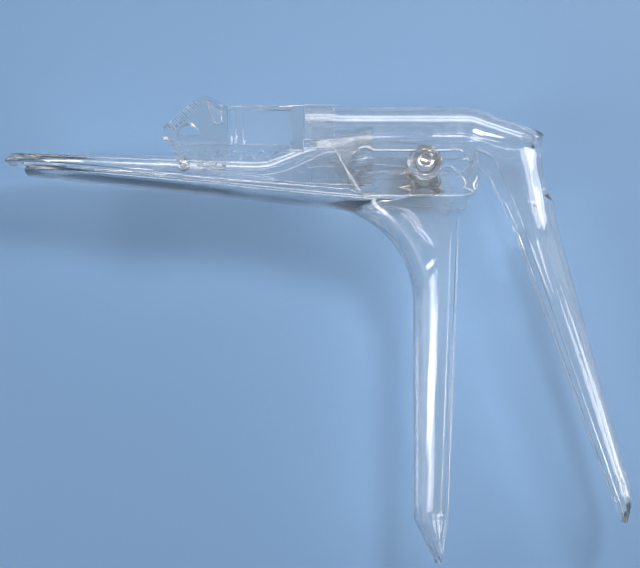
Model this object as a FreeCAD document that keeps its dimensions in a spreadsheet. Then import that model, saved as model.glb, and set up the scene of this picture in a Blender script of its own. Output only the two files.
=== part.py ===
"""A clear plastic bivalve speculum, lying on its side.

X runs along the blades, away from their tips. Y runs across the opening, from
the lower valve to the upper one. Z is up, out of the surface it lies on, and
across the width of the blades. The origin is on the hinge axis, at the flat
end of the far hinge pin. Sizes are in millimetres and degrees.
"""
import FreeCAD, Part
import math
import os

from FreeCAD import Vector

# Driving dimensions
SIZES = {
    "yoke_half": (20.0, "half of the width over the slot plates"),
    "wall": (1.6, "wall of every moulded trough"),
    "side_gap": (0.3, "running gap between the nested side walls"),
    "seat_gap": (0.02, "gap round a pin in the wall that holds it"),
    "turn_gap": (0.06, "gap round a pin that turns"),
    "embed": (0.2, "how deep in a wall a plate moulded to it starts"),
    "parting_gap": (0.6, "gap between the rims of the closed blades"),
    "lip_width": (0.9, "how far a rim's lip stands out"),
    "bare_lip": (0.05, "the same where the rim has no lip"),
    "bend_step": (7.0, "distance between a trough's sections in a bend"),
    "least_step": (0.6, "least distance between two of its sections"),
    "gentle_bend": (1.0, "reach of a rim's slightest bends"),
    "lip_depth": (1.4, "depth of a rim's lip"),
    "blade_length": (127.5, "hinge axis to the tip of the upper blade"),
    "lower_short": (6.0, "how much shorter the lower blade is"),
    "blade_width": (26.0, "width of the blades along their length"),
    "tip_width": (12.0, "width at the very tip of a blade"),
    "upper_crown": (4.6, "top of the upper blade over the hinge axis"),
    "nose_length": (2.5, "length of the upper blade's nose"),
    "nose_radius": (2.0, "radius on top of that nose"),
    "crown_fall": (1.0, "fall of the upper blade's top from nose to flare"),
    "flare_length": (12.0, "length of the upper blade's flare in front of the hood"),
    "flare_radius": (10.0, "radius where the flare ends"),
    "flare_end": (4.0, "how far the flare goes on inside the hood"),
    "flare_drop": (8.0, "top of the flare's end under the hood's top"),
    "base_drop": (5.5, "top of the upper blade's base under the hood's top"),
    "parting_tip": (0.6, "lower rim at the blade tip, over the hinge axis"),
    "parting_drop": (11.2, "fall of the lower rim from tip to throat"),
    "lower_tip_depth": (2.4, "depth of the lower blade at its tip"),
    "throat_x": (10.6, "outer corner of the lower valve's throat"),
    "throat_radius": (8.0, "radius of the rim in the throat"),
    "back_x": (3.0, "back of the lower handle behind the hinge axis"),
    "back_y": (14.5, "corner of the lower valve's back under the hinge axis"),
    "back_radius": (29.0, "radius of the lower valve's back"),
    "handle_drop": (120.0, "hinge axis to the end of the lower handle"),
    "handle_bevel": (13.0, "length of the slanted end of the lower handle"),
    "handle_depth": (10.0, "depth of the lower handle at its end"),
    "handle_top_width": (28.0, "width of a handle at its top"),
    "handle_end_width": (19.0, "width of a handle near its end"),
    "handle_tip_width": (9.0, "width at the very end of a handle"),
    "hood_front": (36.0, "hinge axis to the front of the hood"),
    "hood_crown": (18.9, "top of the hood over the hinge axis"),
    "hood_rim": (4.0, "lower edge of the hood's walls over the hinge axis"),
    "hood_back": (15.0, "hinge axis to where the hood's top turns down"),
    "hood_radius": (14.0, "radius of that turn"),
    "elbow_radius": (5.0, "radius of the elbow"),
    "elbow_depth": (9.9, "depth of the handle's channel at the elbow"),
    "elbow_lean": (2.0, "how far the handle's top leans back under the elbow"),
    "sway_radius": (40.0, "radius of the slide handle's slight bend"),
    "elbow_x": (38.5, "elbow of the slide handle behind the hinge axis"),
    "elbow_y": (10.2, "elbow of the slide handle over the hinge axis"),
    "squeeze_x": (63.5, "end of the slide handle behind the hinge axis"),
    "squeeze_y": (100.0, "end of the slide handle under the hinge axis"),
    "squeeze_bevel": (8.0, "length of the slanted end of the slide handle"),
    "squeeze_depth": (6.2, "depth of the slide handle at its end"),
    "window_width": (24.0, "width of the sight window"),
    "window_height": (21.0, "height of the sight window"),
    "window_inset": (3.0, "where the window's cut starts behind the slot plates"),
    "plate_thick": (2.8, "thickness of a slot plate"),
    "plate_step": (1.2, "how far a slot plate stands out from the hood"),
    "plate_front": (28.5, "hinge axis to the plate's upper front corner"),
    "plate_back": (15.6, "hinge axis to the plate's back edge"),
    "plate_top": (6.0, "plate's top edge over the hinge axis"),
    "plate_foot": (10.3, "plate's bottom edge under the hinge axis"),
    "plate_rake": (8.5, "slant of the plate's front edge"),
    "plate_border": (2.2, "width of the plate's raised border"),
    "plate_relief": (0.5, "depth of the panel inside the border"),
    "pin_radius": (2.85, "hinge pin"),
    "pin_head_radius": (4.4, "inner head of the hinge pin"),
    "pin_head": (1.3, "thickness of that head"),
    "boss_radius": (5.2, "rounded ends of the lugs and cheeks"),
    "lug_thick": (1.8, "thickness of the lower valve's lugs"),
    "slot_gap": (0.12, "gap between the pin and the slot's necks"),
    "lobe_gap": (0.4, "gap between the pin and a slot's detent lobe"),
    "slot_front": (18.0, "hinge axis to the slot's front lobe"),
    "slot_back": (9.0, "hinge axis to the slot's back lobe"),
    "entry_radius": (3.9, "front lobe, where the pin is put in"),
    "rack_front": (76.0, "hinge axis to the free end of the ratchet bar"),
    "rack_top": (5.0, "top of the ratchet bar over the hinge axis"),
    "rack_root": (3.0, "roots of the teeth over the hinge axis"),
    "tooth_pitch": (4.35, "pitch of the ratchet teeth"),
    "tooth_depth": (2.3, "depth of the ratchet teeth"),
    "tooth_count": (7, "number of ratchet teeth"),
    "tooth_fullness": (0.92, "share of the pitch that a tooth's foot takes"),
    "rack_width": (3.3, "width of the ratchet bar"),
    "rail_top": (16.8, "top of the bar's rail over the hinge axis"),
    "rail_front": (58.4, "hinge axis to the front end of the rail"),
    "rail_thick": (1.4, "thickness of the rail and of its web"),
    "foot_back": (27.0, "hinge axis to the back end of the bar's foot"),
    "root_length": (4.0, "length of the block between bar and foot"),
    "post_inset": (1.6, "front end of the rail to its post"),
    "post_width": (2.4, "width of the rail's post"),
    "stud_radius": (1.3, "studs that hold the foot to the hood"),
    "stud_pitch": (4.4, "distance between those studs"),
    "stud_height": (10.8, "height of those studs over the hinge axis"),
    "catch_front": (78.4, "hinge axis to the front of the thumb catch"),
    "catch_back": (59.2, "hinge axis to the back of the thumb catch"),
    "catch_peak_x": (66.6, "hinge axis to the peak of the thumb catch"),
    "catch_peak_y": (19.8, "peak of the thumb catch over the hinge axis"),
    "catch_floor": (6.2, "underside of the thumb press"),
    "arch_radius": (3.4, "arched window in the thumb press"),
    "pawl_thick": (1.3, "thickness of the pawl's foot"),
    "catch_foot": (2.6, "bottom of the pawl under the hinge axis"),
    "catch_pin_x": (72.4, "hinge axis to the catch's own pin"),
    "catch_pin_y": (0.8, "that pin under the hinge axis"),
    "catch_pin_radius": (0.9, "the catch's pin"),
    "catch_head": (0.7, "thickness of that pin's head"),
    "cheek_thick": (1.1, "near cheek of the thumb catch"),
    "grip_pitch": (1.5, "pitch of the grooves on the thumb press"),
    "grip_depth": (0.35, "depth of those grooves"),
}


def make_sheet(doc):
    """The spreadsheet that every sub-part reads its sizes from."""
    sheet = doc.addObject("Spreadsheet::Sheet", "sizes")
    for row, (alias, (value, meaning)) in enumerate(SIZES.items(), start=1):
        sheet.set(f"A{row}", meaning)
        sheet.set(f"B{row}", str(value))
        sheet.setAlias(f"B{row}", alias)
    doc.recompute()
    return sheet


# Plane curves that the troughs follow
def rounded_path(points, radii):
    """A path of straight lines and tangent arcs, as a list of stretches.

    Even stretches are lines and odd ones arcs. at(u) gives the point at u,
    where the whole part counts stretches, and the tangent there.
    """
    points = [Vector(x, y, 0) for x, y in points]
    stretches = []
    start = points[0]
    for before, corner, after, radius in zip(points, points[1:], points[2:], radii):
        incoming = (corner - before).normalize()
        outgoing = (after - corner).normalize()
        turn = incoming.getAngle(outgoing)
        straight = turn < math.radians(0.5)
        reach = radius if straight else radius * math.tan(turn / 2)
        arc_start = corner - incoming * reach
        arc_end = corner + outgoing * reach
        centre = None
        if not straight:
            inward = (outgoing - incoming).normalize()
            centre = corner + inward * (radius / math.cos(turn / 2))
        stretches.append((start, arc_start, None))
        stretches.append((arc_start, arc_end, centre))
        start = arc_end
    stretches.append((start, points[-1], None))

    def at(u):
        index = min(max(int(math.floor(u)), 0), len(stretches) - 1)
        share = u - index
        first, last, centre = stretches[index]
        if centre is None:
            tangent = (last - first).normalize()
            return first + (last - first) * share, tangent
        from_centre = first - centre
        side = 1 if from_centre.cross(last - centre).z > 0 else -1
        sweep = from_centre.getAngle(last - centre) * share * side
        turned = FreeCAD.Rotation(Vector(0, 0, 1), math.degrees(sweep)).multVec(from_centre)
        tangent = Vector(-turned.y * side, turned.x * side, 0).normalize()
        return centre + turned, tangent

    return at


def section_places(path, last, bend_step, least_step, *tables):
    """Where a trough's sections go along its path: at the ends of each stretch, all
    along each bend, and wherever one of the tables of (u, value) pairs has an entry."""
    places = set(range(last + 1))
    for table in tables:
        places |= {u for u, _ in table if u <= last}
    for index in range(1, last, 2):
        length = (path(index + 1)[0] - path(index)[0]).Length
        count = max(math.ceil(length / bend_step), 2)
        places |= {index + step / count for step in range(count)}
    kept = []
    for u in sorted(places, reverse=True):
        if not kept or u == 0 or (path(kept[-1])[0] - path(u)[0]).Length > least_step:
            kept.append(u)
    return kept[::-1]


def table_value(table, u):
    """The value at u in a table of (u, value) pairs, straight between them."""
    for (u0, v0), (u1, v1) in zip(table, table[1:]):
        if u <= u1:
            share = min(max((u - u0) / (u1 - u0), 0), 1)
            return v0 + (v1 - v0) * share
    return table[-1][1]


# A moulded trough: a thin wall bent round a web, with a lip along both rims
BOW = 2.6           # how boxy a trough's section is: 2 is an ellipse
BOW_STEPS = 10      # flats that stand for the round of a section


def bow(foot, depth, width, middle):
    """Points of a trough's section, from rim round the web at foot to rim."""
    points = []
    for step in range(BOW_STEPS + 1):
        angle = math.pi * (step / BOW_STEPS - 0.5)
        across = math.copysign(abs(math.sin(angle)) ** (2 / BOW), angle) * width / 2
        fall = 1 - abs(math.cos(angle)) ** (2 / BOW)
        points.append(foot + depth * fall + Vector(0, 0, middle + across))
    return points


def section_wire(web, rim, inner_web, width, lip, sheet):
    """The closed outline of a trough's wall at one place."""
    up = (rim - web).normalize()
    lip_depth = min(sheet.lip_depth, (rim - web).Length / 2)
    inside = width - 2 * sheet.wall
    outer = bow(web, rim - up * lip_depth - web, width, sheet.yoke_half)
    inner = bow(inner_web, rim - inner_web, inside, sheet.yoke_half)
    out = Vector(0, 0, lip)
    rise = up * lip_depth
    low, high = outer[0], outer[-1]
    corners = [*outer, high + out, high + out + rise, *inner[::-1], low - out + rise, low - out]
    return Part.makePolygon(corners + corners[:1])


def trough(web_path, rim_path, last, widths, lips, sheet, solid_to=0, solid_from=99):
    """A thin trough between two paths, solid before solid_to and after solid_from."""
    wires = []
    places = section_places(web_path, last, sheet.bend_step, sheet.least_step, widths, lips)
    for u in places:
        web, tangent = web_path(u)
        rim = rim_path(u)[0]
        up = (rim - web).normalize()
        slant = abs(up.dot(Vector(-tangent.y, tangent.x, 0)))
        inner_web = web + up * (sheet.wall / slant)
        if u <= solid_to or u >= solid_from:
            inner_web = rim + (web - rim) * 0.12
        width = table_value(widths, u)
        lip = table_value(lips, u)
        wires.append(section_wire(web, rim, inner_web, width, lip, sheet))
    return Part.makeLoft(wires, True, True)


def plate(points, low, thick):
    """A flat plate of the outline, from height low."""
    corners = [Vector(x, y, low) for x, y in points]
    face = Part.Face(Part.makePolygon(corners + corners[:1]))
    return face.extrude(Vector(0, 0, thick))


def disc(x, y, radius, low, thick):
    """An upright cylinder."""
    return Part.makeCylinder(radius, thick, Vector(x, y, low))


# Levels across the instrument, as formulas on the sheet's cells
NEAR_PLATE_LOW = "2 * sizes.yoke_half - sizes.plate_thick"
NEAR_CHEEK_LOW = f"{NEAR_PLATE_LOW} - sizes.side_gap - sizes.wall"
NEAR_LUG_LOW = f"{NEAR_CHEEK_LOW} - sizes.side_gap - sizes.lug_thick"
NEAR_SHAFT_LOW = f"{NEAR_LUG_LOW} - sizes.turn_gap"
CATCH_PIN_LOW = "sizes.yoke_half + sizes.blade_width / 2 + sizes.seat_gap"
RACK_LOW = f"{NEAR_PLATE_LOW} - sizes.side_gap - sizes.wall"
FOOT_LOW = "2 * sizes.yoke_half - sizes.plate_step + sizes.seat_gap"
FOOT_HIGH = f"{FOOT_LOW} + sizes.rail_thick"
ROOT_BACK = "-sizes.hood_front - sizes.side_gap"
ROOT_FRONT = f"{ROOT_BACK} - sizes.root_length"
STUD_LOW = "2 * sizes.yoke_half - sizes.plate_step - sizes.wall"


def bind(item, **formulas):
    """Ties an object's properties to the sheet; x, y and z are its place."""
    for name, formula in formulas.items():
        item.setExpression(f"Placement.Base.{name}" if name in "xyz" else name, formula)
    return item


def block(doc, name, corner, size):
    """A box from its lowest corner and its size along x, y and z, all formulas."""
    x, y, z = corner
    length, width, height = size
    item = doc.addObject("Part::Box", name)
    return bind(item, x=x, y=y, z=z, Length=length, Width=width, Height=height)


def upright(doc, name, x, y, radius, low, high):
    """An upright cylinder between two levels, all formulas."""
    item = doc.addObject("Part::Cylinder", name)
    return bind(item, x=x, y=y, z=low, Radius=radius, Height=f"{high} - ({low})")


def joined(doc, name, pieces):
    """One sub-part of several bound pieces."""
    item = doc.addObject("Part::MultiFuse", name)
    item.Label = name
    item.Shapes = pieces
    item.Refine = True
    return item


def both_sides(shape, sheet):
    """The shape and its mirror image in the instrument's middle plane."""
    mirrored = shape.mirror(Vector(0, 0, sheet.yoke_half), Vector(0, 0, 1))
    return [shape, mirrored]


def add_feature(doc, name, shape):
    """A sub-part whose shape only Part's own functions make."""
    feature = doc.addObject("Part::Feature", name)
    feature.Label = name
    feature.Shape = shape.removeSplitter()
    return feature


def near_plate_low(sheet):
    """Height of the inner face of the near slot plate."""
    return 2 * sheet.yoke_half - sheet.plate_thick


def near_cheek_low(sheet):
    """Height of the inner face of the upper blade's near cheek."""
    return near_plate_low(sheet) - sheet.side_gap - sheet.wall


def near_lug_low(sheet):
    """Height of the inner face of the lower valve's near lug."""
    return near_cheek_low(sheet) - sheet.side_gap - sheet.lug_thick


def parting_height(sheet, x):
    """Height of the lower blade's rim at x."""
    tip = sheet.lower_short - sheet.blade_length
    fall = sheet.parting_drop / (sheet.throat_x - tip)
    return sheet.parting_tip - fall * (x - tip)


def make_lower_valve(doc, sheet):
    """The lower blade and its handle, moulded in one, with the hinge lugs."""
    tip = sheet.lower_short - sheet.blade_length
    corner_y = parting_height(sheet, sheet.throat_x)
    end = -sheet.handle_drop
    bevel = end + sheet.handle_bevel
    lug_outer = near_lug_low(sheet) + sheet.lug_thick
    throat_width = 2 * (lug_outer - sheet.yoke_half)
    web = rounded_path(
        [
            (tip, sheet.parting_tip - sheet.lower_tip_depth),
            (-sheet.back_x, -sheet.back_y),
            (-sheet.back_x, bevel),
            (sheet.handle_depth / 3, end),
        ],
        [sheet.back_radius, sheet.wall * 2],
    )
    rim = rounded_path(
        [
            (tip, sheet.parting_tip),
            (sheet.throat_x, corner_y),
            (sheet.handle_depth - sheet.back_x, bevel),
            (sheet.handle_depth / 2, end),
        ],
        [sheet.throat_radius, sheet.wall * 2],
    )
    widths = [
        (0, sheet.tip_width),
        (0.02, sheet.tip_width * 1.5),
        (0.06, sheet.blade_width * 0.86),
        (0.15, sheet.blade_width),
        (0.6, sheet.blade_width),
        (1.0, throat_width),
        (1.6, throat_width),
        (2.1, sheet.handle_top_width),
        (3, sheet.handle_end_width),
        (4, sheet.handle_end_width * 0.8),
        (5, sheet.handle_tip_width),
    ]
    lips = [(0, sheet.bare_lip), (0.1, sheet.lip_width), (0.6, sheet.lip_width),
            (0.8, sheet.bare_lip), (1.8, sheet.bare_lip), (2.2, sheet.lip_width),
            (5, sheet.lip_width)]
    shell = trough(web, rim, 5, widths, lips, sheet, 0.02, 5)
    low = near_lug_low(sheet)
    boss = sheet.boss_radius
    lug = plate(
        [
            (-boss * 3.2, parting_height(sheet, -boss * 3.2) - sheet.wall),
            (sheet.throat_x - sheet.wall, corner_y - sheet.wall),
            (boss * 0.9, 0),
            (0, boss * 0.9),
            (-boss * 0.9, boss * 0.5),
        ],
        low + sheet.embed,
        sheet.lug_thick - 2 * sheet.embed,
    )
    lug = lug.fuse(disc(0, 0, boss, low, sheet.lug_thick))
    shell = shell.fuse(both_sides(lug, sheet))
    hole = disc(0, 0, sheet.pin_radius + sheet.turn_gap, 0, 2 * sheet.yoke_half)
    return add_feature(doc, "lower_valve", shell.cut(hole))


def make_upper_blade(doc, sheet):
    """The upper blade, with the cheeks that carry the hinge pins and the catch's lug."""
    tip = -sheet.blade_length
    gap = sheet.parting_gap
    cheek_outer = near_cheek_low(sheet) + sheet.wall
    base_width = 2 * (cheek_outer - sheet.yoke_half)
    base_x = -3 * sheet.boss_radius
    flare_x = -sheet.hood_front - sheet.flare_length
    nose_x = tip + 1.8 * sheet.nose_length
    neck_x = sheet.flare_end / 2 - sheet.hood_front
    web = rounded_path(
        [
            (tip, parting_height(sheet, tip) + gap + sheet.wall * 0.6),
            (tip + sheet.nose_length, sheet.upper_crown),
            (flare_x, sheet.upper_crown - sheet.crown_fall),
            (sheet.flare_end - sheet.hood_front, sheet.hood_crown - sheet.flare_drop),
            (base_x, sheet.hood_crown - sheet.base_drop),
        ],
        [sheet.nose_radius, sheet.hood_radius, sheet.flare_radius],
    )
    rim = rounded_path(
        [
            (tip, parting_height(sheet, tip) + gap),
            (nose_x, parting_height(sheet, nose_x) + gap),
            (flare_x, parting_height(sheet, flare_x) + gap),
            (neck_x, parting_height(sheet, neck_x) + gap),
            (base_x, parting_height(sheet, base_x) + 2 * gap),
        ],
        [sheet.gentle_bend, sheet.gentle_bend, sheet.gentle_bend],
    )
    widths = [
        (0, sheet.tip_width),
        (0.9, sheet.tip_width * 1.35),
        (1.5, sheet.tip_width * 1.55),
        (2.02, sheet.blade_width * 0.8),
        (2.06, sheet.blade_width * 0.93),
        (2.12, sheet.blade_width),
        (3, sheet.blade_width),
        (5, sheet.blade_width * 1.05),
        (6, sheet.blade_width * 1.1),
        (6.35, sheet.blade_width * 1.14),
        (7, base_width),
    ]
    lips = [(0, sheet.bare_lip), (2.02, sheet.lip_width / 3), (2.12, sheet.lip_width),
            (2.9, sheet.lip_width), (3.5, sheet.bare_lip), (7, sheet.bare_lip)]
    shell = trough(web, rim, 7, widths, lips, sheet, 1.5)
    low = near_cheek_low(sheet)
    boss = sheet.boss_radius
    cheek = plate(
        [
            (base_x - boss, parting_height(sheet, base_x - boss) + gap + sheet.wall),
            (0, -boss * 0.9),
            (boss * 0.7, 0),
            (0, boss * 0.98),
            (base_x - boss, sheet.hood_crown - 1.5 * sheet.flare_drop),
        ],
        low + sheet.embed,
        sheet.wall - 2 * sheet.embed,
    )
    cheek = cheek.fuse(disc(0, 0, boss, low, sheet.wall))
    hole = disc(0, 0, sheet.pin_radius + sheet.seat_gap, 0, 2 * sheet.yoke_half)
    shell = shell.fuse([*both_sides(cheek, sheet), catch_lug(sheet)])
    return add_feature(doc, "upper_blade", shell.cut([hole, catch_hole(sheet)]))


def catch_lug(sheet):
    """The lug on the upper blade's near wall that the catch's pin is pressed in."""
    radius = 2 * sheet.catch_pin_radius
    low = sheet.yoke_half + sheet.blade_width / 2 - sheet.wall
    high = 2 * sheet.yoke_half - sheet.cheek_thick - sheet.side_gap
    x, y = -sheet.catch_pin_x, -sheet.catch_pin_y
    lug = disc(x, y, radius, low, high - low)
    trim = Part.makeBox(6 * radius, 2 * radius, high, Vector(x - 3 * radius, sheet.side_gap - 0.1, 0))
    return lug.cut(trim)


def catch_hole(sheet):
    """The blind hole in that lug."""
    low = sheet.yoke_half + sheet.blade_width / 2
    radius = sheet.catch_pin_radius + sheet.seat_gap
    return disc(-sheet.catch_pin_x, -sheet.catch_pin_y, radius, low, sheet.yoke_half)


def slot_outline(sheet):
    """The slot's cutter: three detent lobes joined by necks the pin can pass."""
    neck = sheet.pin_radius + sheet.slot_gap
    lobe = sheet.pin_radius + sheet.lobe_gap
    height = 2 * sheet.yoke_half
    cutter = Part.makeBox(
        sheet.slot_front + sheet.slot_back, 2 * neck, height, Vector(-sheet.slot_front, -neck, 0)
    )
    for x, radius in ((-sheet.slot_front, sheet.entry_radius), (0, lobe), (sheet.slot_back, lobe)):
        cutter = cutter.fuse(disc(x, 0, radius, 0, height))
    return cutter


def make_slot_plate(sheet):
    """The near slot plate, with its raised border."""
    low = near_plate_low(sheet)
    front, back = -sheet.plate_front, sheet.plate_back
    outline = [
        (front, sheet.plate_top),
        (front + sheet.plate_rake, -sheet.plate_foot),
        (back, -sheet.plate_foot),
        (back, sheet.plate_top),
    ]
    solid = plate(outline, low, sheet.plate_thick)
    rounded = [
        edge
        for edge in solid.Edges
        if edge.BoundBox.ZLength > sheet.plate_thick / 2
        and edge.CenterOfMass.y < 0
    ]
    solid = solid.makeFillet(3.0, rounded)
    border = sheet.plate_border
    panel = [
        (front + border * 1.3 + 1.2, sheet.plate_top - border),
        (front + sheet.plate_rake + border * 0.8, -sheet.plate_foot + border),
        (back - border, -sheet.plate_foot + border),
        (back - border, sheet.plate_top - border),
    ]
    panel_cut = plate(panel, 2 * sheet.yoke_half - sheet.plate_relief, sheet.plate_relief)
    inner_ledge = sheet.plate_top - sheet.hood_rim
    ledge_cut = Part.makeBox(
        60, inner_ledge, sheet.embed, Vector(-40, sheet.hood_rim, low)
    )
    return solid.cut(panel_cut).cut(ledge_cut)


def make_slide_handle(doc, sheet):
    """The hood, its slot plates and the squeeze handle, moulded in one."""
    hood_width = 2 * (sheet.yoke_half - sheet.plate_step)
    end_x, end_y = sheet.squeeze_x, -sheet.squeeze_y
    web = rounded_path(
        [
            (-sheet.hood_front, sheet.hood_crown),
            (sheet.hood_back, sheet.hood_crown),
            (sheet.elbow_x, sheet.elbow_y),
            (sheet.elbow_x + sheet.elbow_lean, -sheet.elbow_y * 1.5),
            (end_x, end_y),
            (end_x - sheet.squeeze_depth / 3, end_y - sheet.squeeze_bevel),
        ],
        [sheet.hood_radius, sheet.elbow_radius, sheet.sway_radius, 2 * sheet.wall],
    )
    rim = rounded_path(
        [
            (-sheet.hood_front, sheet.hood_rim),
            (sheet.hood_back - sheet.elbow_lean, sheet.hood_rim),
            (sheet.elbow_x - 1.8 * sheet.elbow_depth, 0.4 * sheet.hood_rim),
            (sheet.elbow_x - sheet.elbow_depth, -sheet.elbow_y * 1.6),
            (end_x - sheet.squeeze_depth, end_y + sheet.elbow_lean / 2),
            (end_x - sheet.squeeze_depth / 2, end_y - sheet.squeeze_bevel),
        ],
        [sheet.throat_radius, sheet.elbow_radius, sheet.sway_radius, 2 * sheet.wall],
    )
    widths = [
        (0, hood_width),
        (2, hood_width),
        (3, hood_width * 0.93),
        (4, hood_width * 0.86),
        (5, sheet.handle_top_width),
        (6, sheet.handle_top_width * 0.92),
        (7, sheet.handle_end_width),
        (8, sheet.handle_end_width * 0.85),
        (9, sheet.handle_tip_width),
    ]
    lips = [(0, sheet.bare_lip), (4.5, sheet.bare_lip), (5.5, sheet.lip_width),
            (9, sheet.lip_width)]
    shell = trough(web, rim, 9, widths, lips, sheet, -1, 9)
    window = Part.makeBox(
        sheet.elbow_x,
        sheet.window_height,
        sheet.window_width,
        Vector(sheet.plate_back + sheet.window_inset, sheet.elbow_y - sheet.window_height,
               sheet.yoke_half - sheet.window_width / 2),
    )
    along = [edge for edge in window.Edges if edge.BoundBox.XLength > sheet.elbow_x / 2]
    window = window.makeFillet(sheet.window_height / 3, along)
    shell = shell.cut(window).fuse(both_sides(make_slot_plate(sheet), sheet))
    shell = shell.cut(slot_outline(sheet))
    for x in foot_studs(sheet):
        hole_low = near_plate_low(sheet) - sheet.wall
        radius = sheet.stud_radius + sheet.seat_gap
        shell = shell.cut(disc(x, sheet.stud_height, radius, hole_low, 3 * sheet.wall))
    return add_feature(doc, "slide_handle", shell)


def foot_studs(sheet):
    """Where the studs of the ratchet bar's foot go through the hood."""
    middle = -(sheet.hood_front + sheet.foot_back) / 2
    return [middle - sheet.stud_pitch / 2, middle + sheet.stud_pitch / 2]


def make_hinge_pin(doc, sheet, name, mirrored):
    """A headed pin, from the inside of a lug to the face of a slot plate."""
    head = ("0", "0", "sizes.pin_head_radius")
    shaft = ("0", "0", "sizes.pin_radius")
    if mirrored:
        head_top = f"2 * sizes.yoke_half - ({NEAR_SHAFT_LOW}) + sizes.pin_head"
        pieces = [
            upright(doc, f"{name}_head", *head, f"{head_top} - sizes.pin_head", head_top),
            upright(doc, f"{name}_shaft", *shaft, "0", f"{head_top} - sizes.pin_head"),
        ]
    else:
        pieces = [
            upright(doc, f"{name}_head", *head, f"{NEAR_SHAFT_LOW} - sizes.pin_head",
                    NEAR_SHAFT_LOW),
            upright(doc, f"{name}_shaft", *shaft, NEAR_SHAFT_LOW, "2 * sizes.yoke_half"),
        ]
    return joined(doc, name, pieces)


def make_tooth(doc, index):
    """One tooth of the ratchet bar, standing on its root line and pointing down."""
    tooth = doc.addObject("Part::Wedge", f"tooth_{index + 1}")
    half = "sizes.tooth_pitch * sizes.tooth_fullness / 2"
    bind(tooth, Xmin=f"-{half}", Xmax=half, Ymin="0", Ymax="sizes.tooth_depth")
    bind(tooth, X2min="0", X2max="0", Zmin="0", Zmax="sizes.rack_width")
    bind(tooth, Z2min="0", Z2max="sizes.rack_width")
    tooth.Placement.Rotation = FreeCAD.Rotation(Vector(0, 0, 1), 180)
    place = f"{index} + 0.75"
    return bind(tooth, x=f"({place}) * sizes.tooth_pitch - sizes.rack_front",
                y="sizes.rack_root", z=RACK_LOW)


def make_ratchet_bar(doc, sheet):
    """The toothed bar with its rail, and the foot that is pinned to the hood."""
    bar_height = "sizes.rack_top - sizes.rack_root"
    rail_length = f"{ROOT_BACK} + sizes.rail_front"
    wall_height = "sizes.rail_top - sizes.rack_top"
    pieces = [
        block(doc, "rack", ("-sizes.rack_front", "sizes.rack_root", RACK_LOW),
              (f"{ROOT_BACK} + sizes.rack_front", bar_height, "sizes.rack_width")),
        block(doc, "rack_wall", ("-sizes.rail_front", "sizes.rack_top", RACK_LOW),
              (rail_length, wall_height, "sizes.rail_thick")),
        block(doc, "rail", ("-sizes.rail_front", "sizes.rail_top - sizes.rail_thick", RACK_LOW),
              (rail_length, "sizes.rail_thick", "sizes.rack_width")),
        block(doc, "rail_post", ("sizes.post_inset - sizes.rail_front", "sizes.rack_top", RACK_LOW),
              ("sizes.post_width", wall_height, "sizes.rack_width")),
        block(doc, "rack_root", (ROOT_FRONT, "sizes.rack_root", RACK_LOW),
              ("sizes.root_length", "sizes.rail_top - sizes.rack_root",
               f"{FOOT_HIGH} - ({RACK_LOW})")),
        block(doc, "foot", (ROOT_FRONT, "sizes.plate_top + sizes.side_gap", FOOT_LOW),
              (f"-sizes.foot_back - ({ROOT_FRONT})",
               "sizes.rail_top - sizes.plate_top - sizes.side_gap", "sizes.rail_thick")),
    ]
    pieces += [make_tooth(doc, index) for index in range(int(sheet.tooth_count))]
    middle = "-(sizes.hood_front + sizes.foot_back) / 2"
    for name, side in (("stud_front", "-"), ("stud_back", "+")):
        pieces.append(
            upright(doc, name, f"{middle} {side} sizes.stud_pitch / 2", "sizes.stud_height",
                    "sizes.stud_radius", STUD_LOW, FOOT_LOW)
        )
    return joined(doc, "ratchet_bar", pieces)


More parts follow.
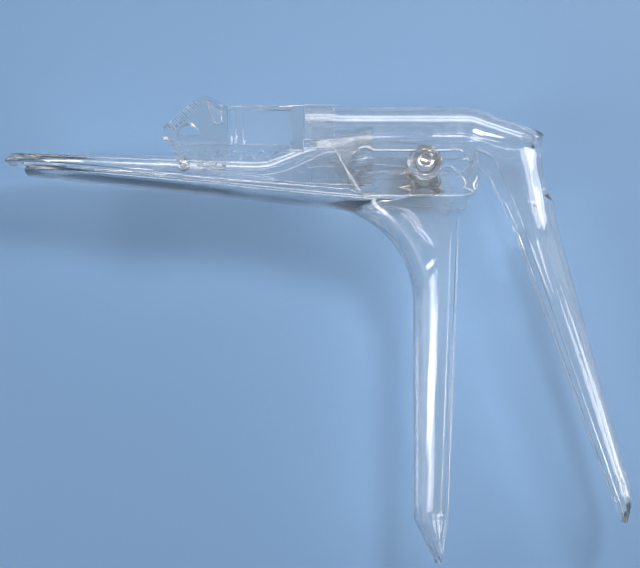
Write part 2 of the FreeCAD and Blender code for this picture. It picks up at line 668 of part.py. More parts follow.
def make_thumb_catch(doc, sheet):
    """The wedge that the thumb presses, its near cheek and the toothed pawl."""
    top = 2 * sheet.yoke_half
    cheek_low = top - sheet.cheek_thick
    rack_low = near_plate_low(sheet) - sheet.side_gap - sheet.wall
    front, back, floor = -sheet.catch_front, -sheet.catch_back, sheet.catch_floor
    peak_x, peak_y = -sheet.catch_peak_x, sheet.catch_peak_y
    shoulder = sheet.rail_top - sheet.side_gap
    press_y = peak_y - 0.68 * (peak_y - floor)
    wedge_points = [
        (front, floor),
        (back, floor),
        (back, shoulder),
        (peak_x + sheet.cheek_thick, peak_y),
        (peak_x - sheet.cheek_thick, peak_y),
        (front, press_y),
    ]
    wedge = plate(wedge_points, rack_low - sheet.wall / 2, top - rack_low + sheet.wall / 2)
    wedge = wedge.cut(grip_grooves(sheet, (front, press_y), (peak_x, peak_y)))
    arch = sheet.arch_radius
    arch_x = (front + peak_x) / 2 + sheet.wall
    arch_y = floor + sheet.wall
    opening = disc(arch_x, arch_y, arch, 0, 2 * top)
    below = Part.makeBox(4 * arch, 2 * arch, 2 * top, Vector(arch_x - 2 * arch, arch_y - 2 * arch, 0))
    wedge = wedge.cut(opening.cut(below))
    hollow_points = [
        (peak_x + 2 * sheet.wall, arch_y + arch),
        (back - sheet.wall, arch_y + arch),
        (back - sheet.wall, shoulder - sheet.wall),
        (peak_x + sheet.cheek_thick, peak_y - 2 * sheet.cheek_thick),
    ]
    wedge = wedge.cut(plate(hollow_points, rack_low, cheek_low - rack_low))
    foot = -sheet.catch_foot
    half = sheet.tooth_pitch * sheet.tooth_fullness / 2
    tooth_xs = [sheet.tooth_pitch * (index + 0.25) - sheet.rack_front for index in (2, 3)]
    pawl_front = tooth_xs[0] - half
    pawl_back = tooth_xs[-1] + half
    pin_side = -sheet.catch_pin_x - 2 * sheet.catch_pin_radius
    cheek_points = [
        (pin_side - sheet.catch_pin_radius, floor),
        (pin_side, -sheet.catch_pin_y),
        (pin_side + sheet.catch_pin_radius, foot),
        (pawl_back, foot),
        (back, -sheet.catch_pin_y),
        (back, floor),
    ]
    cheek = plate(cheek_points, cheek_low, sheet.cheek_thick)
    tooth_tips = sheet.rack_root - sheet.tooth_depth - sheet.side_gap
    pawl = Part.makeBox(pawl_back - pawl_front, sheet.pawl_thick, top - rack_low,
                        Vector(pawl_front, foot, rack_low))
    for x in tooth_xs:
        points = [(x - half, foot), (x + half, foot), (x, tooth_tips)]
        pawl = pawl.fuse(plate(points, rack_low, top - rack_low))
    solid = wedge.fuse([cheek, pawl])
    hole = disc(-sheet.catch_pin_x, -sheet.catch_pin_y,
                sheet.catch_pin_radius + sheet.turn_gap, cheek_low, sheet.cheek_thick)
    return add_feature(doc, "thumb_catch", solid.cut(hole))


def grip_grooves(sheet, start, end):
    """Shallow grooves across the slanted face that the thumb presses."""
    start, end = Vector(*start, 0), Vector(*end, 0)
    along = (end - start).normalize()
    out = Vector(-along.y, along.x, 0)
    count = int((end - start).Length / sheet.grip_pitch) - 2
    grooves = []
    for index in range(count):
        middle = start + along * (sheet.grip_pitch * (index + 1.5))
        side = along * (sheet.grip_pitch / 3)
        points = [middle - side + out, middle + side + out, middle - out * sheet.grip_depth]
        grooves.append(plate([(point.x, point.y) for point in points], 0, 4 * sheet.yoke_half))
    return Part.makeCompound(grooves)


def make_catch_pin(doc, sheet):
    """The small headed pin that the thumb catch turns on."""
    place = ("-sizes.catch_pin_x", "-sizes.catch_pin_y")
    top = "2 * sizes.yoke_half + sizes.seat_gap"
    pieces = [
        upright(doc, "catch_pin_shaft", *place, "sizes.catch_pin_radius", CATCH_PIN_LOW, top),
        upright(doc, "catch_pin_head", *place, "1.7 * sizes.catch_pin_radius", top,
                f"{top} + sizes.catch_head"),
    ]
    return joined(doc, "catch_pin", pieces)


def check(doc, parts):
    """Stops the build if anything in the document failed."""
    for item in doc.Objects:
        if {"Invalid", "Error"} & set(item.State):
            raise RuntimeError(f"{item.Name} failed: {item.State}")
    for part in parts:
        if part.Shape.isNull() or not part.Shape.isValid():
            raise RuntimeError(f"{part.Label} has no valid shape")


def main():
    doc = FreeCAD.newDocument("speculum")
    sheet = make_sheet(doc)
    parts = [
        make_lower_valve(doc, sheet),
        make_upper_blade(doc, sheet),
        make_slide_handle(doc, sheet),
        make_hinge_pin(doc, sheet, "hinge_pin_near", False),
        make_hinge_pin(doc, sheet, "hinge_pin_far", True),
        make_ratchet_bar(doc, sheet),
        make_thumb_catch(doc, sheet),
        make_catch_pin(doc, sheet),
    ]
    doc.recompute()
    check(doc, parts)
    os.makedirs("parts", exist_ok=True)
    for part in parts:
        part.Shape.exportStep(f"parts/{part.Label}.step")
        box = part.Shape.BoundBox
        print(part.Label, len(part.Shape.Solids), "solid,",
              f"{part.Shape.Volume:.0f} mm3,",
              f"x {box.XMin:.1f} {box.XMax:.1f}, y {box.YMin:.1f} {box.YMax:.1f},",
              f"z {box.ZMin:.1f} {box.ZMax:.1f}")


main()
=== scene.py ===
"""A clear plastic bivalve speculum lying on its side on a plain pale table.

Named lengths are in millimetres, and a mesh is scaled to metres when it is made.
X runs from the blade tips to the handles, Y from the lower valve to the upper
one, and Z up from the table, across the width of the blades.
"""
import math

import bmesh
import bpy
from mathutils import Matrix, Vector


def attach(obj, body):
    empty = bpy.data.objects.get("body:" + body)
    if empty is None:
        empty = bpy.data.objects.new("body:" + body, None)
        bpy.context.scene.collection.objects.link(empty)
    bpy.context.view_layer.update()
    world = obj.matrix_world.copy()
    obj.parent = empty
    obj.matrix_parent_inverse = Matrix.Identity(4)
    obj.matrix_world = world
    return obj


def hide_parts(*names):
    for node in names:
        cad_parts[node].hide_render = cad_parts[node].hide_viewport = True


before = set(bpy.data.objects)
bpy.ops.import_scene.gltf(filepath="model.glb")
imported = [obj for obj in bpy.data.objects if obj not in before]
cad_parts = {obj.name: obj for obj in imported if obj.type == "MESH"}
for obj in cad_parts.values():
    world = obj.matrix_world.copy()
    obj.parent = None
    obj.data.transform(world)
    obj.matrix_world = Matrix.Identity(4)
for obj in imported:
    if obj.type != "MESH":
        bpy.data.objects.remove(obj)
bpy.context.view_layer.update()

MM = 0.001

# The instrument's own sizes, as in the solids
MIDDLE = 20.0            # height of the middle plane
WALL = 1.6
EMBED = 0.2              # how deep a plate starts inside the wall it is moulded to
SIDE_GAP = 0.3
SEAT_GAP = 0.02          # gap round a pin in the wall that holds it
TURN_GAP = 0.06          # gap round a pin that turns
PARTING_GAP = 0.6
LIP_WIDTH = 0.9
LIP_DEPTH = 1.4
BARE_LIP = 0.05          # the lip's width where a rim has none
BLADE_LENGTH = 127.5
LOWER_SHORT = 6.0
BLADE_WIDTH = 26.0
TIP_WIDTH = 12.0
UPPER_CROWN = 4.6
CROWN_FALL = 1.0         # fall of the upper blade's top from nose to flare
NOSE_LENGTH = 2.5
NOSE_RADIUS = 2.0
FLARE_LENGTH = 12.0      # length of the upper blade's flare in front of the hood
FLARE_START_RADIUS = 14.0
FLARE_RADIUS = 10.0
FLARE_END = 4.0          # how far the flare goes on inside the hood
FLARE_DROP = 8.0         # top of the flare's end under the hood's top
BASE_DROP = 5.5          # top of the upper blade's base under the hood's top
GENTLE_BEND = 1.0        # reach of a rim's slightest bends
PARTING_TIP = 0.6
PARTING_DROP = 11.2
LOWER_TIP_DEPTH = 2.4
THROAT_X = 10.6
THROAT_RADIUS = 8.0
BACK_X = 3.0
BACK_Y = 14.5
BACK_RADIUS = 29.0
HANDLE_DROP = 120.0
HANDLE_BEVEL = 13.0
HANDLE_DEPTH = 10.0
HANDLE_TOP_WIDTH = 28.0
HANDLE_END_WIDTH = 19.0
HANDLE_TIP_WIDTH = 9.0
HOOD_FRONT = 36.0
HOOD_CROWN = 18.9
HOOD_RIM = 4.0
HOOD_BACK = 15.0         # hinge axis to where the hood's top turns down
HOOD_RADIUS = 14.0
HOOD_RIM_RADIUS = 8.0
ELBOW_X = 38.5
ELBOW_Y = 10.2
ELBOW_RADIUS = 5.0
ELBOW_DEPTH = 9.9        # depth of the handle's channel at the elbow
ELBOW_LEAN = 2.0         # how far the handle's top leans back under the elbow
SWAY_RADIUS = 40.0       # radius of the squeeze handle's slight bend
SQUEEZE_X = 63.5
SQUEEZE_Y = 100.0
SQUEEZE_DEPTH = 6.2
SQUEEZE_BEVEL = 8.0      # length of the squeeze handle's slanted end
WINDOW_WIDTH = 24.0
WINDOW_HEIGHT = 21.0
WINDOW_INSET = 3.0       # where the window's cut starts behind the slot plates
PLATE_THICK = 2.8
PLATE_STEP = 1.2
PLATE_FRONT = 28.5
PLATE_BACK = 15.6
PLATE_TOP = 6.0
PLATE_FOOT = 10.3
PLATE_RAKE = 8.5
PLATE_BORDER = 2.2
PLATE_RELIEF = 0.5
PLATE_CORNER = 3.4
PANEL_CORNER = 1.6
PIN_RADIUS = 2.85
PIN_HEAD_RADIUS = 4.4
PIN_HEAD = 1.3
BOSS_RADIUS = 5.2
LUG_THICK = 1.8
SLOT_FRONT = 18.0
SLOT_BACK = 9.0
ENTRY_RADIUS = 3.9
SLOT_GAP = 0.12
LOBE_GAP = 0.4
SLOT_RIM = 1.0           # width of the raised rim round a slot
SLOT_CHAMFER = 0.5
ARC_STEPS = 24
RACK_FRONT = 76.0
RACK_TOP = 5.0
RACK_ROOT = 3.0
TOOTH_PITCH = 4.35
TOOTH_DEPTH = 2.3
TOOTH_COUNT = 7
RACK_WIDTH = 3.3
RAIL_TOP = 16.8
RAIL_FRONT = 58.4
RAIL_THICK = 1.4
FOOT_BACK = 27.0
STUD_RADIUS = 1.3
CATCH_FRONT = 78.4
CATCH_BACK = 59.2
CATCH_PEAK_X = 66.6
CATCH_PEAK_Y = 19.8
CATCH_FLOOR = 6.2
CATCH_FOOT = 2.6
CATCH_PIN_X = 72.4
CATCH_PIN_Y = 0.8
CATCH_PIN_RADIUS = 0.9
CHEEK_THICK = 1.1
CATCH_HEAD = 0.7
PAWL_THICK = 1.3
ARCH_RADIUS = 3.4
GRIP_PITCH = 1.5
GRIP_DEPTH = 0.35
GABLE = 1.9              # width and fall of the slanted borders of the thumb press
GABLE_DROP = 2.2
PRESS_SHARE = 0.68       # how much of the thumb press's height its front slant takes
ROOT_LENGTH = 4.0
POST_INSET = 1.6
POST_WIDTH = 2.4
STUD_PITCH = 4.4
STUD_HEIGHT = 10.8
TOOTH_FULLNESS = 0.92

TOP = 2 * MIDDLE
PLATE_LOW = TOP - PLATE_THICK
CHEEK_LOW = PLATE_LOW - SIDE_GAP - WALL
LUG_LOW = CHEEK_LOW - SIDE_GAP - LUG_THICK
RACK_LOW = CHEEK_LOW


# Plane curves that the moulded troughs follow
def rounded_path(points, radii):
    """Straight lines joined by tangent arcs: at(u) gives a point and the tangent there.

    Even stretches are lines and odd ones arcs. The second result lists their lengths.
    """
    points = [Vector((x, y, 0)) for x, y in points]
    stretches = []
    start = points[0]
    for before, corner, after, radius in zip(points, points[1:], points[2:], radii):
        incoming = (corner - before).normalized()
        outgoing = (after - corner).normalized()
        turn = incoming.angle(outgoing)
        straight = turn < math.radians(0.5)
        reach = radius if straight else radius * math.tan(turn / 2)
        centre = None
        if not straight:
            centre = corner + (outgoing - incoming).normalized() * (radius / math.cos(turn / 2))
        stretches.append((start, corner - incoming * reach, None))
        stretches.append((corner - incoming * reach, corner + outgoing * reach, centre))
        start = corner + outgoing * reach
    stretches.append((start, points[-1], None))

    def at(u):
        index = min(max(int(math.floor(u)), 0), len(stretches) - 1)
        share = u - index
        first, last, centre = stretches[index]
        if centre is None:
            return first.lerp(last, share), (last - first).normalized()
        spoke = first - centre
        side = 1 if spoke.cross(last - centre).z > 0 else -1
        turned = Matrix.Rotation(spoke.angle(last - centre) * share * side, 3, "Z") @ spoke
        return centre + turned, Vector((-turned.y * side, turned.x * side, 0)).normalized()

    lengths = [(last - first).length for first, last, _ in stretches]
    return at, lengths


def stations(lengths, step):
    """Places along a path, evenly spread within each of its stretches."""
    places = []
    for index, length in enumerate(lengths):
        count = max(math.ceil(length / step), 2)
        places += [index + k / count for k in range(count)]
    return places + [float(len(lengths))]


def blend_values(knots):
    """A function that runs straight between (u, value) pairs."""

    def value(u):
        for (u0, v0), (u1, v1) in zip(knots, knots[1:]):
            if u <= u1:
                share = min(max((u - u0) / (u1 - u0), 0), 1)
                return v0 + (v1 - v0) * share
        return knots[-1][1]

    return value


def smoothed(values, points, reach):
    """The values, each averaged with its neighbours within reach, ends kept."""
    run = [0.0]
    for a, b in zip(points, points[1:]):
        run.append(run[-1] + (b - a).length)
    result = []
    for here in run:
        span = min(reach, here, run[-1] - here) + 1e-6
        near = [(1 - abs(s - here) / span, v) for s, v in zip(run, values) if abs(s - here) < span]
        result.append(sum(w * v for w, v in near) / sum(w for w, _ in near))
    return result


def softened(corners, radius, steps=3):
    """The inner corners of a polyline rounded off; its two ends are only neighbours."""
    points = []
    for before, corner, after in zip(corners, corners[1:], corners[2:]):
        to_before = before - corner
        to_after = after - corner
        cut = min(radius, to_before.length * 0.45, to_after.length * 0.45)
        a = corner + to_before.normalized() * cut
        b = corner + to_after.normalized() * cut
        for step in range(steps + 1):
            t = step / steps
            points.append(a * (1 - t) ** 2 + corner * 2 * t * (1 - t) + b * t ** 2)
    return points


# Sections of a trough
BOW = 2.6                # how boxy a section is: 2 is an ellipse
BOW_STEPS = 26
EDGE_SOFT = 0.35         # radius of a moulded edge
SECTION_STEP = 1.8       # distance between sections
WIDTH_REACH = 7.0        # reach over which widths are smoothed
LIP_REACH = 5.0
SOLID_SHARE = 0.88       # share of the depth that the floor of a solid end takes
PAST_END = 99.0          # a place past the end of any path


def bow(width, foot, depth):
    """(across, height) points round a trough's web, rim to rim."""
    points = []
    for step in range(BOW_STEPS + 1):
        angle = math.pi * (step / BOW_STEPS - 0.5)
        across = math.copysign(abs(math.sin(angle)) ** (2 / BOW), angle) * width / 2
        height = foot + depth * (1 - abs(math.cos(angle)) ** (2 / BOW))
        points.append(Vector((across, height)))
    return points


def section(width, depth, floor, lip):
    """The closed outline of a trough's wall, with its lips softened."""
    lip_depth = min(LIP_DEPTH, depth / 2)
    outer = bow(width, 0.0, depth - lip_depth)
    inner = bow(width - 2 * WALL, floor, depth - floor)
    half = width / 2
    right = [
        outer[-2],
        outer[-1],
        Vector((half + lip, depth - lip_depth)),
        Vector((half + lip, depth)),
        inner[-1],
        inner[-2],
    ]
    soft = softened(right, EDGE_SOFT)
    mirror = [Vector((-p.x, p.y)) for p in reversed(soft)]
    return outer[1:-1] + soft + inner[-2:0:-1] + mirror


def trough(web_path, rim_path, lengths, width, lip, solid_to=0.0, solid_from=PAST_END):
    """A smooth thin-walled trough between two paths, as a bmesh in millimetres."""
    places = stations(lengths, SECTION_STEP)
    webs = [web_path(u)[0] for u in places]
    widths = smoothed([width(u) for u in places], webs, WIDTH_REACH)
    lips = smoothed([lip(u) for u in places], webs, LIP_REACH)
    floors = []
    for u in places:
        web, tangent = web_path(u)
        up = (rim_path(u)[0] - web).normalized()
        slant = abs(up.dot(Vector((-tangent.y, tangent.x, 0))))
        solid = u <= solid_to or u >= solid_from
        depth = (rim_path(u)[0] - web).length
        floors.append(depth * SOLID_SHARE if solid else WALL / slant)
    mesh = bmesh.new()
    rings = []
    for u, web, across, edge, floor in zip(places, webs, widths, lips, floors):
        rim = rim_path(u)[0]
        depth = (rim - web).length
        up = (rim - web).normalized()
        ring = [
            mesh.verts.new(web + up * p.y + Vector((0, 0, MIDDLE + p.x)))
            for p in section(across, depth, min(floor, depth * SOLID_SHARE), edge)
        ]
        rings.append(ring)
    for one, other in zip(rings, rings[1:]):
        for index in range(len(one)):
            after = (index + 1) % len(one)
            mesh.faces.new((one[index], one[after], other[after], other[index]))
    for ring in (rings[0], rings[-1]):
        close_end(mesh, ring)
    bmesh.ops.recalc_face_normals(mesh, faces=mesh.faces)
    return mesh


def close_end(mesh, ring):
    """The flat end of a trough's wall: a strip between its two skins, and its two lips."""
    skin = BOW_STEPS - 1
    half = len(ring) // 2
    for k in range(skin - 1):
        inner = half + skin - 1 - k
        mesh.faces.new((ring[k], ring[k + 1], ring[inner - 1], ring[inner]))
    mesh.faces.new(ring[skin - 1:half + 1])
    mesh.faces.new(ring[half + skin - 1:] + ring[:1])


# Flat and round solids
def soften_edges(mesh, soft):
    """Every edge of the mesh bevelled, unless soft is nothing."""
    if soft:
        bmesh.ops.bevel(mesh, geom=mesh.edges[:], offset=soft, segments=3, profile=0.5,
                        affect="EDGES", clamp_overlap=True)
    return mesh


def prism(points, low, high, soft=0.0):
    """An upright prism of the outline, its edges softened."""
    mesh = bmesh.new()
    base = mesh.faces.new([mesh.verts.new((x, y, low)) for x, y in points])
    grown = bmesh.ops.extrude_face_region(mesh, geom=[base])["geom"]
    risen = [v for v in grown if isinstance(v, bmesh.types.BMVert)]
    bmesh.ops.translate(mesh, verts=risen, vec=(0, 0, high - low))
    bmesh.ops.recalc_face_normals(mesh, faces=mesh.faces)
    return soften_edges(mesh, soft)


def block(low, high, soft=0.0):
    """A box between two corners, its edges softened."""
    (x0, y0, z0), (x1, y1, z1) = low, high
    return prism([(x0, y0), (x1, y0), (x1, y1), (x0, y1)], z0, z1, soft)


def stack(levels, soft=0.0):
    """A solid through outlines at rising heights, each with as many points."""
    mesh = bmesh.new()
    rings = [[mesh.verts.new((x, y, height)) for x, y in points] for height, points in levels]
    for one, other in zip(rings, rings[1:]):
        for k in range(len(one)):
            after = (k + 1) % len(one)
            mesh.faces.new((one[k], one[after], other[after], other[k]))
    mesh.faces.new(rings[0])
    mesh.faces.new(rings[-1])
    bmesh.ops.recalc_face_normals(mesh, faces=mesh.faces)
    return soften_edges(mesh, soft)


def turned(profile, x, y, sides=48):
    """A body of revolution about an upright axis, from (radius, height) pairs."""
    mesh = bmesh.new()
    rings = []
    for radius, height in profile:
        if radius < 1e-6:
            rings.append([mesh.verts.new((x, y, height))])
            continue
        rings.append([
            mesh.verts.new((x + radius * math.cos(2 * math.pi * k / sides),
                            y + radius * math.sin(2 * math.pi * k / sides), height))
            for k in range(sides)
        ])
    for one, other in zip(rings, rings[1:]):
        for k in range(sides):
            after = (k + 1) % sides
            if len(one) == 1:
                mesh.faces.new((one[0], other[after], other[k]))
            elif len(other) == 1:
                mesh.faces.new((one[k], one[after], other[0]))
            else:
                mesh.faces.new((one[k], one[after], other[after], other[k]))
    bmesh.ops.recalc_face_normals(mesh, faces=mesh.faces)
    return mesh


def disc(x, y, radius, low, high, soft=0.0, sides=48):
    """An upright cylinder with softened rims."""
    cut = min(soft, radius / 3)
    profile = [(0, low), (radius - cut, low)]
    if cut:
        profile += [(radius - cut * 0.3, low + cut * 0.3), (radius, low + cut),
                    (radius, high - cut), (radius - cut * 0.3, high - cut * 0.3)]
    else:
        profile += [(radius, high)]
    profile += [(radius - cut, high), (0, high)] if cut else [(0, high)]
    return turned(profile, x, y, sides)


def flipped_side(mesh):
    """A copy of the mesh mirrored in the instrument's middle plane."""
    copy = mesh.copy()
    for vertex in copy.verts:
        vertex.co.z = TOP - vertex.co.z
    bmesh.ops.reverse_faces(copy, faces=copy.faces)
    return copy


def both_sides(mesh):
    """The mesh with its mirror image beside it, in one."""
    data = bpy.data.meshes.new("far side")
    far = flipped_side(mesh)
    far.to_mesh(data)
    far.free()
    mesh.from_mesh(data)
    bpy.data.meshes.remove(data)
    return mesh


def as_object(name, mesh):
    """A linked object of the bmesh, still in millimetres."""
    data = bpy.data.meshes.new(name)
    mesh.to_mesh(data)
    mesh.free()
    thing = bpy.data.objects.new(name, data)
    bpy.context.scene.collection.objects.link(thing)
    return thing


def combined(base, steps):
    """The bmesh base with others joined to it or cut out of it, one after another."""
    thing = as_object("work", base)
    for operation, mesh in steps:
        tool = as_object("tool", mesh)
        modifier = thing.modifiers.new("step", "BOOLEAN")
        modifier.operation = operation
        modifier.solver = "EXACT"
        modifier.object = tool
        bpy.context.view_layer.update()
        evaluated = thing.evaluated_get(bpy.context.evaluated_depsgraph_get())
        data = bpy.data.meshes.new_from_object(evaluated)
        thing.modifiers.clear()
        thing.data = data
        bpy.data.objects.remove(tool)
    result = bmesh.new()
    result.from_mesh(thing.data)
    bpy.data.objects.remove(thing)
    return result


JOIN = "UNION"
CUT = "DIFFERENCE"


class Row:
    """Geometry Nodes that set out copies of one solid in a straight row."""

    def __init__(self):
        self.tree = bpy.data.node_groups.new("row of copies", "GeometryNodeTree")
        self.inputs = {
            name: self.tree.interface.new_socket(name, in_out="INPUT", socket_type=kind)
            for name, kind in (
                ("Solid", "NodeSocketObject"), ("Count", "NodeSocketInt"),
                ("Start", "NodeSocketVector"), ("Step", "NodeSocketVector"),
                ("Finish", "NodeSocketMaterial"),
            )
        }
        self.tree.interface.new_socket("Row", in_out="OUTPUT", socket_type="NodeSocketGeometry")
        given = self.tree.nodes.new("NodeGroupInput")
        line = self.node("GeometryNodeMeshLine", Count=given.outputs["Count"],
                         Start_Location=given.outputs["Start"], Offset=given.outputs["Step"])
        solid = self.node("GeometryNodeObjectInfo", Object=given.outputs["Solid"])
        copies = self.node("GeometryNodeInstanceOnPoints", Points=line.outputs["Mesh"],
                           Instance=solid.outputs["Geometry"])
        real = self.node("GeometryNodeRealizeInstances", Geometry=copies.outputs["Instances"])
        finish = self.node("GeometryNodeSetMaterial", Geometry=real.outputs["Geometry"],
                           Material=given.outputs["Finish"])
        self.node("NodeGroupOutput", Row=finish.outputs["Geometry"])

    def node(self, kind, **links):
        node = self.tree.nodes.new(kind)
        for key, output in links.items():
            self.tree.links.new(output, node.inputs[key.replace("_", " ")])
        return node

    def copies(self, solid, count, start, step, material):
        """The bmesh solid, repeated, as one bmesh."""
        original = as_object("one of a row", solid)
        carrier = as_object("row", bmesh.new())
        modifier = carrier.modifiers.new("row", "NODES")
        modifier.node_group = self.tree
        values = {"Solid": original, "Count": count, "Start": start, "Step": step,
                  "Finish": material}
        for name, value in values.items():
            modifier[self.inputs[name].identifier] = value
        bpy.context.view_layer.update()
        evaluated = carrier.evaluated_get(bpy.context.evaluated_depsgraph_get())
        data = bpy.data.meshes.new_from_object(evaluated)
        carrier.modifiers.clear()
        bpy.data.objects.remove(carrier)
        bpy.data.objects.remove(original)
        result = bmesh.new()
        result.from_mesh(data)
        bpy.data.meshes.remove(data)
        return result


def piece(name, mesh, body, material, *nodes, sharp=32.0):
    """The finished piece: metres, smooth but for real edges, riding on its body."""
    bmesh.ops.remove_doubles(mesh, verts=mesh.verts, dist=0.002)
    bmesh.ops.scale(mesh, verts=mesh.verts, vec=(MM, MM, MM))
    for face in mesh.faces:
        face.smooth = True
    for edge in mesh.edges:
        edge.smooth = len(edge.link_faces) == 2 and edge.calc_face_angle(0) < math.radians(sharp)
    thing = as_object(name, mesh)
    thing.data.materials.clear()
    thing.data.materials.append(material)
    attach(thing, body)
    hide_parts(*nodes)
    return thing


# Shader maths
class Socket:
    """A value or link in a node tree; +, * and a number minus it add Math nodes."""

    def __init__(self, tree, socket):
        self.tree = tree
        self.socket = socket

    def maths(self, operation, *others):
        """The result of a Math node of this operation."""
        return self.tree.add("ShaderNodeMath", {"operation": operation}, self, *others)

    def __add__(self, other):
        return self.maths("ADD", other)

    def __mul__(self, other):
        return self.maths("MULTIPLY", other)

    def __rsub__(self, other):
        return self.tree.add("ShaderNodeMath", {"operation": "SUBTRACT"}, other, self)

    def between(self, low, high):
        """0 below low, 1 above high, and a smooth step between."""
        settings = {"interpolation_type": "SMOOTHSTEP"}
        return self.tree.add("ShaderNodeMapRange", settings, self, low, high, 0.0, 1.0)


class Tree:
    """A material's or the world's nodes."""

    def __init__(self, owner):
        owner.use_nodes = True
        self.nodes = owner.node_tree.nodes
        self.links = owner.node_tree.links
        self.nodes.clear()

    def add(self, kind, settings=None, *inputs, output=0, **named):
        """A node of this kind; its settings come first, then its sockets' values or links."""
        node = self.nodes.new(kind)
        for key, value in (settings or {}).items():
            setattr(node, key, value)
        pairs = list(enumerate(inputs)) + [(key.replace("_", " "), v) for key, v in named.items()]
        for key, value in pairs:
            if isinstance(value, Socket):
                self.links.new(value.socket, node.inputs[key])
            elif value is not None:
                node.inputs[key].default_value = value
        return Socket(self, node.outputs[output]) if len(node.outputs) else None


SURFACE_ALPHA = 0.95     # how much of a wall's surface refracts
SHADOW_RELIEF = 0.62     # how much less of it counts for shadow rays


def clear_plastic(name, tint, density, rough, ripple, grain):
    """Glossy see-through plastic whose tint deepens with the length of the light's way."""
    material = bpy.data.materials.new(name)
    tree = Tree(material)
    place = tree.add("ShaderNodeTexCoord", output="Object")
    slow = tree.add("ShaderNodeTexNoise", None, Vector=place, Scale=90.0, Detail=1.5)
    fine = tree.add("ShaderNodeTexNoise", None, Vector=place, Scale=900.0, Detail=3.0)
    roughness = slow.between(0.35, 0.7) * rough + 0.008
    height = slow * ripple + fine * grain
    bump = tree.add("ShaderNodeBump", None, Strength=0.12, Distance=0.0004, Height=height)
    shadow = tree.add("ShaderNodeLightPath", output="Is Shadow Ray")
    solid = SURFACE_ALPHA - shadow * SHADOW_RELIEF
    surface = tree.add(
        "ShaderNodeBsdfPrincipled", None,
        Base_Color=(1.0, 1.0, 1.0, 1.0), Roughness=roughness, IOR=1.52,
        Transmission_Weight=1.0, Alpha=solid, Normal=bump,
    )
    inside = tree.add("ShaderNodeVolumeAbsorption", None, Color=tint, Density=density)
    tree.add("ShaderNodeOutputMaterial", None, Surface=surface, Volume=inside)
    return material


TAN = (0.86, 0.72, 0.58, 1.0)
moulded = clear_plastic("moulded clear plastic", TAN, 38.0, 0.03, 1.0, 0.03)
catch_plastic = clear_plastic("thumb catch plastic", TAN, 60.0, 0.05, 0.8, 0.06)
pin_plastic = clear_plastic("pin plastic", TAN, 60.0, 0.05, 0.8, 0.06)


def parting_height(x):
    """Height of the lower blade's rim at x."""
    tip = LOWER_SHORT - BLADE_LENGTH
    return PARTING_TIP - PARTING_DROP / (THROAT_X - tip) * (x - tip)


def lower_valve():
    """The lower blade, its throat and its handle, with the hinge lugs."""
    tip = LOWER_SHORT - BLADE_LENGTH
    corner_y = parting_height(THROAT_X)
    bevel = HANDLE_BEVEL - HANDLE_DROP
    throat_width = 2 * (LUG_LOW + LUG_THICK - MIDDLE)
    web, lengths = rounded_path(
        [(tip, PARTING_TIP - LOWER_TIP_DEPTH), (-BACK_X, -BACK_Y), (-BACK_X, bevel),
         (HANDLE_DEPTH / 3, -HANDLE_DROP)],
        [BACK_RADIUS, WALL * 2],
    )
    rim, _ = rounded_path(
        [(tip, PARTING_TIP), (THROAT_X, corner_y), (HANDLE_DEPTH - BACK_X, bevel),
         (HANDLE_DEPTH / 2, -HANDLE_DROP)],
        [THROAT_RADIUS, WALL * 2],
    )
    width = blend_values([
        (0, TIP_WIDTH), (0.02, TIP_WIDTH * 1.5), (0.06, BLADE_WIDTH * 0.86), (0.15, BLADE_WIDTH),
        (0.6, BLADE_WIDTH), (1.0, throat_width), (1.6, throat_width), (2.1, HANDLE_TOP_WIDTH),
        (3, HANDLE_END_WIDTH), (4, HANDLE_END_WIDTH * 0.8), (5, HANDLE_TIP_WIDTH),
    ])
    lip = blend_values([(0, 0.1), (0.1, LIP_WIDTH), (0.6, LIP_WIDTH), (0.8, BARE_LIP),
                        (1.8, BARE_LIP), (2.2, LIP_WIDTH), (5, LIP_WIDTH)])
    shell = trough(web, rim, lengths, width, lip, 0.02, 5)
    back = -BOSS_RADIUS * 3.2
    lug = prism(
        [(back, parting_height(back) - WALL), (THROAT_X - WALL, corner_y - WALL),
         (BOSS_RADIUS * 0.9, 0), (0, BOSS_RADIUS * 0.9), (-BOSS_RADIUS * 0.9, BOSS_RADIUS * 0.5)],
        LUG_LOW + EMBED, LUG_LOW + LUG_THICK - EMBED,
    )
    boss = disc(0, 0, BOSS_RADIUS, LUG_LOW, LUG_LOW + LUG_THICK, 0.3)
    steps = [(JOIN, both_sides(lug)), (JOIN, both_sides(boss))]
    steps.append((CUT, disc(0, 0, PIN_RADIUS + TURN_GAP, -1, TOP + 1)))
    piece("lower_valve_moulding", combined(shell, steps), "lower", moulded, "lower_valve")


